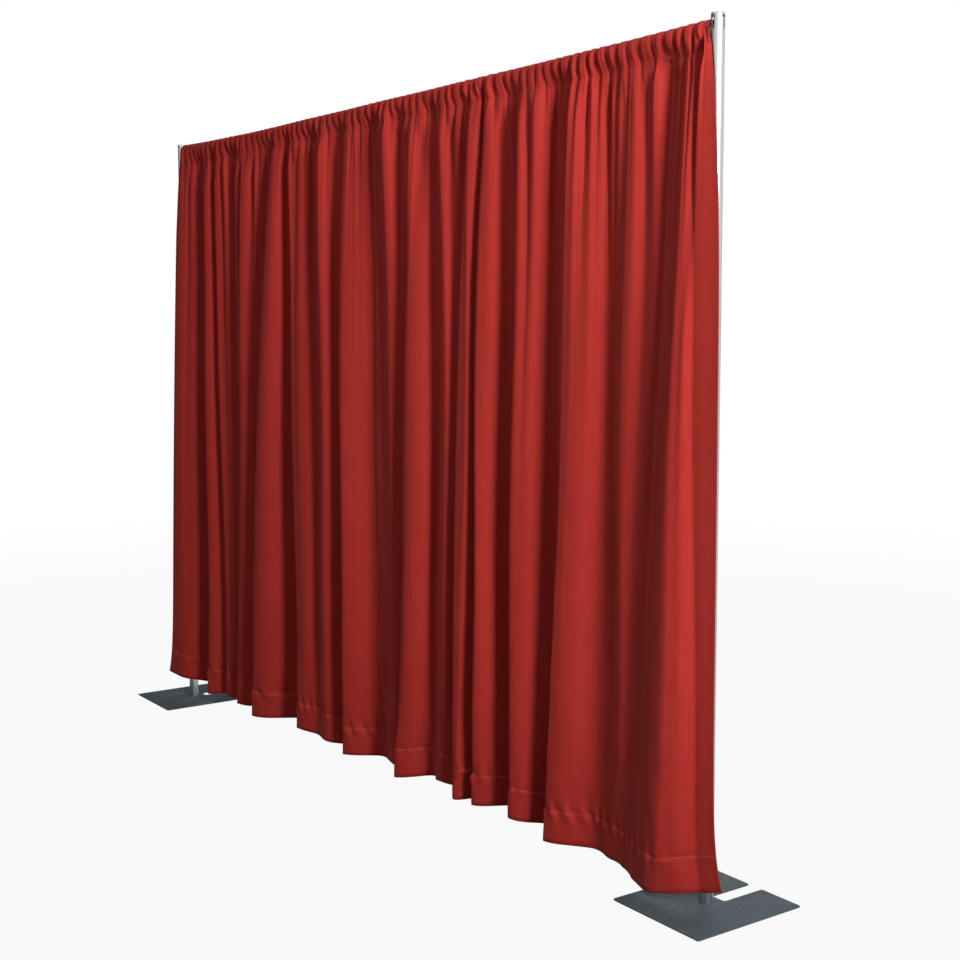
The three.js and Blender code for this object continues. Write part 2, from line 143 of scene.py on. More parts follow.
def mix_colours(tree, share, first, second):
    """A Mix node for colours; the share and both colours are values or sockets."""
    node = add_node(tree, "Mix", {"data_type": "RGBA"})
    colours = [socket for socket in node.inputs if socket.type == "RGBA"]
    for socket, value in zip([node.inputs[0], *colours], (share, first, second)):
        feed(tree, socket, value)
    return [socket for socket in node.outputs if socket.type == "RGBA"][0]


def lay_over(tree, base, mask, amount, colour):
    """Lay a colour over a base where a mask shows, by no more than an amount."""
    return mix_colours(tree, math_node(tree, "MULTIPLY", mask, amount), base, colour)


def mix_shaders(tree, share, first, second):
    """A Mix Shader node between the shaders of two nodes."""
    node = add_node(tree, "MixShader")
    for socket, value in zip(node.inputs, (share, first.outputs[0], second.outputs[0])):
        tree.links.new(value, socket)
    return node.outputs[0]


def new_material(name, **values):
    """A material; returns it, its tree, its Principled shader and the object coordinates."""
    material = bpy.data.materials.new(name)
    material.use_nodes = True
    tree = material.node_tree
    shader = tree.nodes["Principled BSDF"]
    fill(tree, shader, **values)
    return material, tree, shader, add_node(tree, "TexCoord").outputs["Object"]


def seen_directly(tree, mirror_share):
    """1 where the camera looks straight at something, and a share of that in reflections."""
    ray = add_node(tree, "LightPath")
    mirrored = math_node(tree, "MULTIPLY", ray.outputs["Is Glossy Ray"], mirror_share)
    return math_node(tree, "MAXIMUM", ray.outputs["Is Camera Ray"], mirrored)


# %% [markdown]
# ## Floor
# The backdrop stands on plain white with hardly a shadow. A floor lit that white would throw
# light up at the cloth, so the floor is dark grey to the object's light. To the camera it glows
# white, and a small share of the grey floor, with its shadow, is mixed in near the middle.

# %% Make the floor
floor_size = 60.0
floor_drop = 0.0005
floor_grey = 0.12
floor_mirror_share = 0.65
shadow_share = 0.06
shadow_near = 3.0
shadow_far = 9.0

bpy.ops.object.select_all(action="DESELECT")
bpy.ops.mesh.primitive_plane_add(size=floor_size, location=(0, 0, -floor_drop))
floor = bpy.context.active_object
floor.name = "studio_floor"
floor_material, tree, shader, places = new_material(
    "studio_floor", Base_Color=(floor_grey, floor_grey, floor_grey, 1), Roughness=0.9, Specular_IOR_Level=0.1
)
glow = add_node(tree, "Emission", Strength=1.0)
from_middle = add_node(tree, "VectorMath", {"operation": "LENGTH"}, Vector=places).outputs["Value"]
white_share = ranged(tree, from_middle, shadow_near, shadow_far, 1 - shadow_share, 1.0, "SMOOTHSTEP")
share = math_node(tree, "MULTIPLY", seen_directly(tree, floor_mirror_share), white_share)
surface = mix_shaders(tree, share, shader, glow)
tree.links.new(surface, tree.nodes["Material Output"].inputs["Surface"])
floor.data.materials.append(floor_material)
print(f"floor {floor_size:.0f} m wide")

# %% [markdown]
# ## Lamps
# The light comes from the right and falls off towards the far end and the floor. So the key
# lamp stands right of the camera, aims high and has a narrow spread. A small low lamp reaches
# the near corner, a weak high one opens the folds, and one behind lights the back.

# %% Set the lamps
# Each lamp: its place, what it aims at, its width and height, its watts and its spread in degrees
lamps = {
    "key_lamp": ((5.5, -1.3, 3.0), (0.3, 0.0, 3.5), (0.9, 1.2), 74, 100),
    "near_lamp": ((4.0, -1.1, 0.9), (1.5, 0.0, 0.7), (0.5, 0.5), 6, 80),
    "fill_lamp": ((0.9, -2.8, 4.6), (1.0, 0.0, 2.4), (2.0, 1.5), 8, 110),
    "back_lamp": ((-2.5, 5.0, 3.0), (0.0, 0.0, 1.2), (2.6, 2.2), 78, 180),
}
for name, (place, aim, size, watts, spread) in lamps.items():
    lamp_data = bpy.data.lights.new(name, "AREA")
    lamp_data.shape = "RECTANGLE"
    lamp_data.size, lamp_data.size_y = size
    lamp_data.energy = watts
    lamp_data.spread = radians(spread)
    lamp = bpy.data.objects.new(name, lamp_data)
    lamp.location = place
    lamp.rotation_euler = (Vector(aim) - Vector(place)).to_track_quat("-Z", "Y").to_euler()
    bpy.context.scene.collection.objects.link(lamp)
print("lamps:", ", ".join(lamps))

# %% [markdown]
# ## Sky
# The world gives a weak, even light, and is white to the camera. In reflections it is a room
# that darkens to the left, because a metal tube shows its roundness only by what it mirrors.

# %% Make the sky
sky_tint = (0.92, 0.97, 1.0, 1)
sky_strength = 0.15
room_dark_from = -0.8
room_white_from = 0.3
room_white = 0.8

world = bpy.data.worlds.new("studio_sky")
bpy.context.scene.world = world
world.use_nodes = True
tree = world.node_tree
tree.nodes.clear()
sky = add_node(tree, "Background", Color=sky_tint, Strength=sky_strength)
white = add_node(tree, "Background", Color=(1, 1, 1, 1), Strength=1.0)
towards = add_node(tree, "SeparateXYZ", Vector=add_node(tree, "TexCoord").outputs["Generated"])
room = ranged(tree, towards.outputs["X"], room_dark_from, room_white_from, 0.0, room_white)
surface = mix_shaders(tree, seen_directly(tree, room), sky, white)
tree.links.new(surface, add_node(tree, "OutputWorld").inputs["Surface"])
print("sky strength", sky_strength)

# %% [markdown]
# ## Shared shader groups
# Grain, edge wear and dust show on several finishes, each time with other values. A node
# group holds such an effect once, with named inputs, and each material places it.

# %% Build the shader groups
def new_group(name, inputs, output, detail, roughness=0.5):
    """A node group with a noise; returns it, its inputs, its output and the noise."""
    group = bpy.data.node_groups.new(name, "ShaderNodeTree")
    group.interface.new_socket("Vector", in_out="INPUT", socket_type="NodeSocketVector")
    for title, value in inputs.items():
        socket = group.interface.new_socket(title, in_out="INPUT", socket_type="NodeSocketFloat")
        socket.default_value = value
    group.interface.new_socket(output, in_out="OUTPUT", socket_type="NodeSocketFloat")
    given, end = group.nodes.new("NodeGroupInput").outputs, group.nodes.new("NodeGroupOutput")
    noise = add_node(group, "TexNoise", Vector=given["Vector"], Scale=given["Scale"])
    fill(group, noise, Detail=detail, Roughness=roughness)
    return group, given, end.inputs[output], noise.outputs["Fac"]


# Uneven grain: noise that is spread between two values
inputs = {"Scale": 20.0, "Low": 0.0, "High": 1.0}
grain_group, given, result, noise = new_group("Grain", inputs, "Value", detail=6.0, roughness=0.6)
feed(grain_group, result, ranged(grain_group, noise, 0.3, 0.7, given["Low"], given["High"]))

# Edge wear: where the shape is pointed, broken up by noise
inputs = {"Scale": 60.0, "Amount": 1.0}
wear_group, given, result, noise = new_group("Edge wear", inputs, "Mask", detail=5.0)
form = add_node(wear_group, "NewGeometry")
pointed = ranged(wear_group, form.outputs["Pointiness"], 0.51, 0.6)
worn = math_node(wear_group, "MULTIPLY", pointed, ranged(wear_group, noise, 0.42, 0.62))
feed(wear_group, result, math_node(wear_group, "MULTIPLY", worn, given["Amount"]))

# Dust: settled on what faces up, in patches
inputs = {"Scale": 8.0, "Amount": 0.3}
dust_group, given, result, noise = new_group("Dust", inputs, "Mask", detail=8.0, roughness=0.7)
form = add_node(dust_group, "NewGeometry")
facing = add_node(dust_group, "SeparateXYZ", Vector=form.outputs["Normal"])
facing_up = ranged(dust_group, facing.outputs["Z"], 0.6, 1.0)
settled = math_node(dust_group, "MULTIPLY", facing_up, ranged(dust_group, noise, 0.4, 0.75))
feed(dust_group, result, math_node(dust_group, "MULTIPLY", settled, given["Amount"]))


def place_group(tree, group, vector, **values):
    """A group's node in a material, fed with a vector; returns its output."""
    return add_node(tree, "Group", {"node_tree": group}, Vector=vector, **values).outputs[0]


def bump_into(tree, shader, height, strength, distance):
    """Feed a height into a shader's normal through a Bump node."""
    bump = add_node(tree, "Bump", Height=height, Strength=strength, Distance=distance)
    tree.links.new(bump.outputs["Normal"], shader.inputs["Normal"])


print("shader groups:", ", ".join(group.name for group in (grain_group, wear_group, dust_group)))

# %% [markdown]
# ## Plate paint
# The plates are sprayed dark blue-grey. Such paint is a little mottled, scuffed, dusty on top
# and worn to bare steel on its edges. Each of these is a layer of colour over the one before,
# and follows object coordinates, which here are places in the room.

# %% Finish the plates
paint_dark = (0.106, 0.148, 0.176, 1)
paint_light = (0.138, 0.182, 0.208, 1)
paint_scuffed = (0.152, 0.190, 0.210, 1)
plate_dust = (0.17, 0.19, 0.19, 1)
bare_steel = (0.36, 0.36, 0.35, 1)
paint_roughness = 0.46
mottle_roughness = 0.14
dust_roughness = 0.5
bare_metallic = 0.8


def plate_paint():
    """Dark blue-grey paint on sheet steel, worn on its edges and scuffed."""
    material, tree, shader, places = new_material("plate_paint", Specular_IOR_Level=0.05)
    mottle = place_group(tree, grain_group, places, Scale=14.0)
    peel = place_group(tree, grain_group, places, Scale=420.0)
    scuff = place_group(tree, grain_group, places, Scale=24.0, Low=-1.6, High=0.5)
    wear = place_group(tree, wear_group, places, Scale=90.0, Amount=0.5)
    dust = place_group(tree, dust_group, places, Scale=6.0, Amount=0.12)
    colour = mix_colours(tree, mottle, paint_dark, paint_light)
    colour = mix_colours(tree, math_node(tree, "MAXIMUM", scuff, 0.0), colour, paint_scuffed)
    colour = mix_colours(tree, dust, colour, plate_dust)
    colour = mix_colours(tree, wear, colour, bare_steel)
    rough = math_node(tree, "MULTIPLY_ADD", mottle, mottle_roughness, paint_roughness)
    rough = math_node(tree, "MULTIPLY_ADD", dust, dust_roughness, rough)
    metallic = math_node(tree, "MULTIPLY", wear, bare_metallic)
    fill(tree, shader, Base_Color=colour, Roughness=rough, Metallic=metallic)
    bump_into(tree, shader, peel, strength=0.12, distance=0.0002)
    return material


finishes = {"painted_plate": plate_paint()}

# %% [markdown]
# ## Bare metal
# The tubes are drawn aluminium, whose fine lines run along them, the pins are plain steel, and
# hooks, bolts and rivets are bright zinc plate. One recipe serves all: a fine grain, stretched
# along the piece, streaks the metal, and a coarser one dulls it. The uprights' bores, which
# show through the slots, are coloured dark as painted shade.

# %% Finish the metal parts
worn_bright = (0.92, 0.92, 0.91, 1)
# Painted shade: the colour of the uprights' bores stands in for the shade inside the tube
bore_painted_shade = (0.05, 0.05, 0.05, 1)
bore_shade_share = 0.9
mark_share = 0.5
streak_share = 0.35


def drawn_metal(name, dark, light, roughness, stretch, wear_amount=0.2, bore_radius=0):
    """Bare metal with fine lines along one axis, faint handling marks, bright edges and, given a bore
    radius, painted shade in its bore.
    """
    material, tree, shader, places = new_material(name, Metallic=1.0)
    along = add_node(tree, "Mapping", Vector=places, Scale=stretch).outputs[0]
    lines = place_group(tree, grain_group, along, Scale=900.0)
    marks = place_group(tree, grain_group, places, Scale=35.0)
    wear = place_group(tree, wear_group, places, Scale=120.0, Amount=wear_amount)
    colour = lay_over(tree, light, marks, mark_share, dark)
    colour = lay_over(tree, colour, lines, streak_share, dark)
    colour = mix_colours(tree, wear, colour, worn_bright)
    # Painted shade: inside the bore the metal is coloured dark, as the shade seen through the slots
    if bore_radius:
        parts = add_node(tree, "SeparateXYZ", Vector=places)
        aside = math_node(tree, "SUBTRACT", math_node(tree, "ABSOLUTE", parts.outputs["X"]), upright_axis)
        square = math_node(tree, "MULTIPLY", aside, aside)
        square = math_node(tree, "MULTIPLY_ADD", parts.outputs["Y"], parts.outputs["Y"], square)
        inside = math_node(tree, "LESS_THAN", square, bore_radius ** 2)
        colour = lay_over(tree, colour, inside, bore_shade_share, bore_painted_shade)
    fill(tree, shader, Base_Color=colour, Roughness=ranged(tree, marks, 0.0, 1.0, *roughness))
    bump_into(tree, shader, lines, strength=0.12, distance=0.0002)
    return material


aluminium = {"dark": (0.50, 0.51, 0.52, 1), "light": (0.80, 0.80, 0.79, 1), "roughness": (0.24, 0.36)}
finishes["aluminium"] = drawn_metal(
    "satin_aluminium", **aluminium, stretch=(1, 1, 0.01), bore_radius=upright_radius - upright_wall / 2
)
finishes["crossbar_aluminium"] = drawn_metal("crossbar_aluminium", **aluminium, stretch=(0.01, 1, 1))
finishes["pin_steel"] = drawn_metal(
    "pin_steel", dark=(0.30, 0.31, 0.32, 1), light=(0.52, 0.53, 0.54, 1), roughness=(0.3, 0.45),
    stretch=(1, 1, 0.02), wear_amount=0.5,
)
finishes["zinc"] = drawn_metal(
    "zinc_plate", dark=(0.42, 0.43, 0.44, 1), light=(0.60, 0.61, 0.62, 1), roughness=(0.26, 0.42),
    stretch=(1, 1, 1), wear_amount=0.4,
)

# %% [markdown]
# ## Moulded plastic
# Caps, bush and plug are moulded. Their skin is a very fine even grain that only the bump
# shows, over a slow change of shade, and dust settles on what faces up.

# %% Finish the plastic parts
plastic_dust = (0.45, 0.44, 0.41, 1)
plastic_roughness = 0.42
shade_roughness = 0.12


def moulded_plastic(name, colour, tint):
    """Fine-textured moulded plastic with dust on top."""
    material, tree, shader, places = new_material(name)
    shade = place_group(tree, grain_group, places, Scale=45.0)
    skin = place_group(tree, grain_group, places, Scale=1500.0)
    dust = place_group(tree, dust_group, places, Scale=60.0, Amount=0.3)
    colour = mix_colours(tree, dust, mix_colours(tree, shade, colour, tint), plastic_dust)
    rough = math_node(tree, "MULTIPLY_ADD", shade, shade_roughness, plastic_roughness)
    fill(tree, shader, Base_Color=colour, Roughness=rough)
    bump_into(tree, shader, skin, strength=0.2, distance=0.0001)
    return material


finishes["cap"] = moulded_plastic("cap_plastic", (0.56, 0.56, 0.53, 1), (0.48, 0.48, 0.45, 1))
finishes["bush"] = moulded_plastic("bush_plastic", (0.012, 0.012, 0.013, 1), (0.02, 0.02, 0.021, 1))
print("finishes:", ", ".join(finishes))

# %% [markdown]
# ## Modelling helpers
# Pieces are modelled with the operators a person would use. An operator works on what is
# selected, so everything is deselected first and parts are then picked by their place. What
# both ends have is modelled once, and a copy is set at each post.

# %% Helpers for modelling
def select_only(piece=None):
    """Leave edit mode, deselect everything, and select one piece if it is given."""
    if bpy.context.object and bpy.context.object.mode != "OBJECT":
        bpy.ops.object.mode_set(mode="OBJECT")
    bpy.ops.object.select_all(action="DESELECT")
    if piece:
        piece.select_set(True)
        bpy.context.view_layer.objects.active = piece


def edit_new(name):
    """Name the primitive that was just added and open it for editing."""
    piece = bpy.context.active_object
    piece.name = piece.data.name = name
    bpy.ops.object.transform_apply()
    bpy.ops.object.mode_set(mode="EDIT")
    return piece


def pick(piece, kind, test):
    """Select a piece's vertices, edges or faces whose middle passes a test."""
    bpy.ops.mesh.select_mode(type=kind)
    bpy.ops.mesh.select_all(action="DESELECT")
    shape = bmesh.from_edit_mesh(piece.data)
    for part in {"VERT": shape.verts, "EDGE": shape.edges, "FACE": shape.faces}[kind]:
        corners = [part.co] if kind == "VERT" else [corner.co for corner in part.verts]
        if test(sum(corners, Vector()) / len(corners)):
            part.select_set(True)
    bmesh.update_edit_mesh(piece.data)


def push_up(distance):
    """Extrude what is selected and move it up, or down for a distance below zero."""
    bpy.ops.mesh.extrude_region_move(TRANSFORM_OT_translate={"value": (0, 0, distance)})


def apply_modifier(piece, kind, **settings):
    """Add a modifier with its settings and apply it."""
    modifier = piece.modifiers.new(kind.lower(), kind)
    for name, value in settings.items():
        setattr(modifier, name, value)
    bpy.context.view_layer.objects.active = piece
    bpy.ops.object.modifier_apply(modifier=modifier.name)


def set_at_posts(piece, body, slot, replaced, smooth_angle=30, modelled_at=0):
    """Smooth and finish a piece, and set a copy with its own mesh at each post."""
    select_only(piece)
    bpy.ops.object.transform_apply()
    bpy.ops.object.shade_smooth_by_angle(angle=radians(smooth_angle))
    piece.data.materials.clear()
    piece.data.materials.append(finishes[slot])
    for side, place in posts.items():
        select_only(piece)
        bpy.ops.object.duplicate()
        copy = bpy.context.active_object
        copy.name = copy.data.name = f"{piece.name}_{side}"
        bpy.ops.transform.translate(value=(place - modelled_at, 0, 0))
        bpy.ops.object.transform_apply()
        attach(copy, f"{body}_{side}")
        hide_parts(f"{replaced}_{side}")
        print(f"{copy.name}: {len(copy.data.polygons)} faces")
    bpy.data.objects.remove(piece)


# %% [markdown]
# ## Floor plates
# Each plate is sheet steel, 4.8 mm thick, with a slot in its back edge that lets stacked
# plates nest round each other's pins. It starts as a plane, is bisected along the slot's
# sides, loses the slot's face, has its corners rounded and is then pushed up to thickness.
# Underneath, a cone is cut out for the head of the pin's bolt.

# %% Make the floor plates
plate_low, plate_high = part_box("base_plate_right")
plate_width = 0.343
plate_depth = 0.393
plate_thickness = plate_high.z - plate_low.z
plate_turn = radians(-4)
nest_slot_half_width = 0.025
nest_slot_end = 0.046
plate_corner_radius = 0.005
nest_slot_corner_radius = 0.008
plate_edge_round = 0.0007
countersink_radius = 0.0096
countersink_height = 0.0045
bolt_hole_radius = 0.0052
overrun = 0.0001

select_only()
bpy.ops.mesh.primitive_plane_add(size=1, location=(0, 0, 0))
bpy.context.active_object.scale = (plate_width, plate_depth, 1)
plate = edit_new("plate")
slot_sides = (
    ((nest_slot_half_width, 0, 0), (1, 0, 0)),
    ((-nest_slot_half_width, 0, 0), (1, 0, 0)),
    ((0, nest_slot_end, 0), (0, 1, 0)),
)
for through, across in slot_sides:
    bpy.ops.mesh.select_all(action="SELECT")
    bpy.ops.mesh.bisect(plane_co=through, plane_no=across)
pick(plate, "FACE", lambda at: abs(at.x) < nest_slot_half_width and at.y > nest_slot_end)
bpy.ops.mesh.delete(type="FACE")
bpy.ops.mesh.select_all(action="SELECT")
bpy.ops.mesh.dissolve_limited(angle_limit=radians(1))
pick(plate, "VERT", lambda at: abs(at.y) > plate_depth / 4)
bpy.ops.mesh.bevel(offset=plate_corner_radius, segments=5, affect="VERTICES")
pick(plate, "VERT", lambda at: abs(at.y - nest_slot_end) < 0.001 and abs(at.x) < 2 * nest_slot_half_width)
bpy.ops.mesh.bevel(offset=nest_slot_corner_radius, segments=6, affect="VERTICES")
bpy.ops.mesh.select_all(action="SELECT")
push_up(plate_thickness)
bpy.ops.mesh.select_all(action="SELECT")
bpy.ops.mesh.normals_make_consistent()

select_only()
bpy.ops.mesh.primitive_cone_add(
    vertices=48, radius1=countersink_radius, radius2=bolt_hole_radius,
    depth=countersink_height, location=(0, 0, countersink_height / 2 - overrun),
)
countersink = bpy.context.active_object
apply_modifier(plate, "BOOLEAN", object=countersink, operation="DIFFERENCE", solver="EXACT")
bpy.data.objects.remove(countersink)
apply_modifier(
    plate, "BEVEL", width=plate_edge_round, segments=2, limit_method="ANGLE",
    angle_limit=radians(60),
)
plate.rotation_euler.z = plate_turn
set_at_posts(plate, "base", "painted_plate", "base_plate")

# %% [markdown]
# ## Base pins
# A pin is a short stub of tube bolted to its plate, with a rounded lead-in at the top so
# that the upright drops over it. A cylinder's top is inset to the wall and pushed down, and
# the rim is bevelled.

# %% Make the base pins
pin_low, pin_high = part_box("base_pin_right")
pin_radius = (pin_high.x - pin_low.x) / 2
pin_height = pin_high.z - pin_low.z
pin_wall = 0.0032
pin_foot_thickness = 0.012
pin_lead_in = 0.0022

select_only()
bpy.ops.mesh.primitive_cylinder_add(
    vertices=64, radius=pin_radius, depth=pin_height, location=(0, 0, (pin_low.z + pin_high.z) / 2)
)
pin = edit_new("pin")
pick(pin, "FACE", lambda at: at.z > pin_high.z - 0.001)
bpy.ops.mesh.inset(thickness=pin_wall)
push_up(pin_foot_thickness - pin_height)
outer_rim = pin_radius - pin_wall / 2
pick(pin, "EDGE", lambda at: at.z > pin_high.z - 0.0001 and hypot(at.x, at.y) > outer_rim)
bpy.ops.mesh.bevel(offset=pin_lead_in, segments=4)
set_at_posts(pin, "pin", "pin_steel", "base_pin", smooth_angle=40)

# %% [markdown]
# ## Uprights
# An upright is one drawn tube with a slot on each of its four sides near the top, for the
# hooks of up to four crossbars. An open cylinder is bisected at the slots' ends and sides,
# the slots' faces are deleted and their corners rounded, and Solidify then gives the wall,
# inwards. Cutting the thin shell first is cleaner than a boolean on a finished tube.

# %% Make the uprights
tube_sides = 72
slot_half_width = 0.004
slot_corner_radius = 0.0012
slot_inset = 0.005
slot_length = 0.035
slot_top = upright_high.z - slot_inset
slot_bottom = slot_top - slot_length
tube_edge_round = 0.0003
touching = 0.00005
post = posts["left"]


def beside_axes(at):
    """How far a place is from the nearer of the planes through the slots' middles."""
    return min(abs(at.x - post), abs(at.y))


def is_slot_corner(at):
    """Whether a vertex is one of the slots' corners."""
    at_end = min(abs(at.z - slot_bottom), abs(at.z - slot_top)) < touching
    return at_end and abs(beside_axes(at) - slot_half_width) < touching


select_only()
bpy.ops.mesh.primitive_cylinder_add(
    vertices=tube_sides, radius=upright_radius, depth=upright_high.z - upright_low.z,
    end_fill_type="NOTHING", location=(post, 0, (upright_low.z + upright_high.z) / 2),
)
upright = edit_new("upright")
for level in (slot_bottom, slot_top):
    bpy.ops.mesh.select_all(action="SELECT")
    bpy.ops.mesh.bisect(plane_co=(post, 0, level), plane_no=(0, 0, 1))
for across in ((1, 0, 0), (0, 1, 0)):
    for offset in (slot_half_width, -slot_half_width):
        through = (post + offset * across[0], offset * across[1], 0)
        pick(upright, "FACE", lambda at: slot_bottom < at.z < slot_top)
        bpy.ops.mesh.bisect(plane_co=through, plane_no=across)
pick(upright, "FACE", lambda at: slot_bottom < at.z < slot_top and beside_axes(at) < slot_half_width)
bpy.ops.mesh.delete(type="FACE")
pick(upright, "VERT", is_slot_corner)
bpy.ops.mesh.bevel(offset=slot_corner_radius, segments=3, affect="VERTICES")
select_only()
apply_modifier(upright, "SOLIDIFY", thickness=upright_wall, offset=-1, use_even_offset=True)
apply_modifier(
    upright, "BEVEL", width=tube_edge_round, segments=2, limit_method="ANGLE",
    angle_limit=radians(50),
)
set_at_posts(upright, "upright", "aluminium", "upright_tube", modelled_at=post)

# %% [markdown]
# ## Caps
# A pressed-in cap closes each tube. Its crown is a low disc with a rounded edge, and its
# spigot is the disc's underside, inset and pushed down.

# %% Make the caps
cap_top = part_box("upright_cap_right")[1].z
cap_crown = cap_top - upright_high.z
cap_edge_round = 0.0019
spigot_depth = 0.004
spigot_inset = 0.00195

select_only()
bpy.ops.mesh.primitive_cylinder_add(
    vertices=tube_sides, radius=upright_radius, depth=cap_crown,
    location=(0, 0, cap_top - cap_crown / 2),
)
cap = edit_new("cap")
pick(cap, "FACE", lambda at: at.z < cap_top - 0.9 * cap_crown)
bpy.ops.mesh.inset(thickness=spigot_inset)
push_up(-spigot_depth)
pick(cap, "FACE", lambda at: at.z > cap_top - 0.1 * cap_crown)
bpy.ops.mesh.bevel(offset=cap_edge_round, segments=5)
set_at_posts(cap, "upright", "cap", "upright_cap", smooth_angle=35)

# %% [markdown]
# ## Small parts that keep their solids
# The crossbar's tubes, bush, plug, hooks and rivets and the base bolts already have their
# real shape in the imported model, so they stay and only get their finishes.

# %% Finish the carried-over parts
kept = {
    "zinc": [f"{name}_{side}" for name in ("base_bolt", "crossbar_hook", "hook_rivet") for side in posts],
    "crossbar_aluminium": ("crossbar_outer_tube", "crossbar_inner_tube"),
    "bush": ("crossbar_guide_bush", "crossbar_stop_plug"),
}
for finish, names in kept.items():
    for name in names:
        nodes[name].data.materials.clear()
        nodes[name].data.materials.append(finishes[finish])
    print(f"{finish}: {len(names)} kept solids")

# %% [markdown]
# ## How the drapes hang
# Three panels of one cloth are gathered on the bar. Each panel is a row of marks: an edge,
# its crests from left to right, and its other edge. A mark gives its place along the bar at
# the pocket and at the hem, how far its crest stands out there, and how high its hem ends.
# Between two crests the cloth runs back into a valley, quickly on one side and slowly on the
# other. A simulation wouldn't put each fold where the photograph has it, and marks do.

# %% Give the marks of each drape
pocket_end_gap = 0.0025
pocket_end = (upright_axis - upright_radius - pocket_end_gap) / upright_axis
left_split = -0.484
right_split = 0.325

# Each mark: place at the pocket and at the hem as shares of half the upright spacing; reach at
# the pocket and at the hem as shares of the fold's reach; rise of the hem as a share; how early
# the place spreads on its way down; how the valley after the mark leans, and its depth at the hem
POCKET_PLACE, HEM_PLACE, POCKET_REACH, HEM_REACH, HEM_RISE, SPREAD, LEAN, VALLEY = range(8)
drape_marks = {
    "left": [
        (-pocket_end, -1.055, 0.50, 0.92, 0.90, 1.3, 1.35, 1.0),
        (-0.958, -1.010, 0.42, 0.95, 0.85, 1, 1.35, 1.0),
        (-0.838, -0.856, 0.40, 0.68, 0.22, 1, 1.35, 0.8),
        (-0.779, -0.768, 0.42, 0.34, 0.42, 1, 1.20, 0.6),
        (-0.650, -0.682, 0.45, 0.75, 0.38, 1, 1.35, 1.0),
        (left_split, -0.580, -0.05, -0.35, 0.30, 1, 1.35, 1.0),
    ],
    "middle": [
        (left_split, -0.594, 0.30, 0.80, 0.20, 1.9, 1.35, 1.0),
        (-0.470, -0.566, 0.42, 1.25, 0.20, 1, 1.60, 1.0),
        (-0.389, -0.361, 0.42, 0.90, 0.40, 1, 1.35, 0.2),
        (-0.257, -0.240, 0.40, 0.75, 0.22, 1, 1.35, 0.7),
        (-0.135, -0.142, 0.45, 1.00, -0.05, 1, 1.30, 1.0),
        (0.018, 0.034, 0.60, 0.22, 0.15, 1, 0.85, 1.0),
        (0.127, 0.073, 0.45, 1.00, -0.20, 1, 1.50, 1.0),
        (0.219, 0.205, 0.42, 0.30, 0.25, 1, 1.35, 1.0),
        (right_split, 0.300, 0.00, -0.35, 0.10, 1, 1.35, 1.0),
    ],
    "right": [
        (right_split, 0.284, 0.35, 0.85, -0.15, 2.4, 1.35, 1.0),
        (0.336, 0.294, 0.42, 0.90, -0.15, 1, 1.35, 1.0),
        (0.378, 0.357, 0.42, 0.90, -0.05, 1, 1.35, 1.0),
        (0.496, 0.481, 0.42, 0.90, 0.05, 1, 1.50, 1.0),
        (0.648, 0.598, 0.45, 1.00, -0.37, 1, 1.50, 0.7),
        (0.787, 0.772, 0.24, 0.32, -0.30, 1, 0.80, 0.0),
        (0.950, 0.918, 0.32, 1.60, -0.45, 0.4, 1.90, -1.20),
        (0.975, 0.988, 0.85, 0.50, -0.05, 1, 1.35, 1.0),
        (pocket_end, 1.029, 0.52, 0.45, 0.25, 11, 1.35, 1.0),
    ],
}
# Short folds that start at the seam and fade below it: place as a share, half width, how far
# they stand out (or in, below zero), and how far down they reach
short_folds = (
    (0.900, 0.050, -0.018, 0.40),
    (0.858, 0.020, 0.018, 0.45),
    (0.535, 0.019, 0.016, 0.60),
    (0.100, 0.018, 0.016, 0.70),
    (-0.250, 0.020, 0.015, 0.60),
    (-0.738, 0.019, 0.015, 0.80),
    (0.026, 0.026, 0.016, 1.20),
    (0.345, 0.018, 0.014, 1.10),
)
for side, marks in drape_marks.items():
    print(f"drape {side}: {len(marks) - 2} crests")

# %% [markdown]
# ## Waves for the finer folds
# Gathers that are too regular look false, so each wave's pitch and height drift along the bar,
# by sums of sines with random phases. Soft folds take a plain wave. Cloth drawn up on a bar
# makes round ridges with sharp creases between them, which is a cosine turned up below zero.

# %% Helpers for waves
def smooth(value):
    """A ramp from 0 to 1 with soft ends."""
    value = np.clip(value, 0, 1)
    return value * value * (3 - 2 * value)


def fades(distance, over):
    """1 at no distance, falling off over a length."""
    return np.exp(-distance / over)


def ridge(distance, half_width):
    """1 at no distance, falling off to both sides like a bell."""
    return np.exp(-(distance / half_width) ** 2)


def drift_along(along, pitch, phases, terms):
    """A sum of slow sines: each term has a height and a length in pitches."""
    return sum(
        height * np.sin(along / (length * pitch) + phase)
        for (height, length), phase in zip(terms, phases)
    )


def drifting_wave(along, pitch, seed):
    """A wave from -1 to 1 whose pitch and height drift along its way."""
    phases = np.random.default_rng(seed).uniform(0, 2 * pi, 6)
    drift = drift_along(along, pitch, phases, ((0.9, 3.1), (0.6, 1.7), (0.35, 0.9)))
    swell = 0.75 + drift_along(along, pitch, phases[3:], ((0.35, 2.3),))
    turn = 2 * pi * along / pitch + drift + phases[4]
    return swell * (np.cos(turn) + 0.28 * np.cos(2 * turn + phases[5]))


def pinched_wave(along, pitch, seed):
    """Round ridges with sharp creases between them, unevenly spaced, from about -1 to 1."""
    phases = np.random.default_rng(seed).uniform(0, 2 * pi, 6)
    drift = drift_along(along, pitch, phases, ((1.5, 2.7), (0.8, 1.3), (0.4, 0.7)))
    swell = 0.8 + drift_along(along, pitch, phases[3:], ((0.3, 1.9),))
    turn = pi * along / pitch + drift / 2 + phases[4]
    fine = 0.22 * np.cos(5 * turn + phases[5])
    return swell * (2.0 * np.abs(np.cos(turn)) ** 0.75 - 1.2 + fine)


# %% [markdown]
# ## The grid of a sheet
# A sheet is a grid: columns along the bar and rows down the cloth, closer together at the
# hem's stitches and below the pocket's seam, where the cloth bends on its way down.

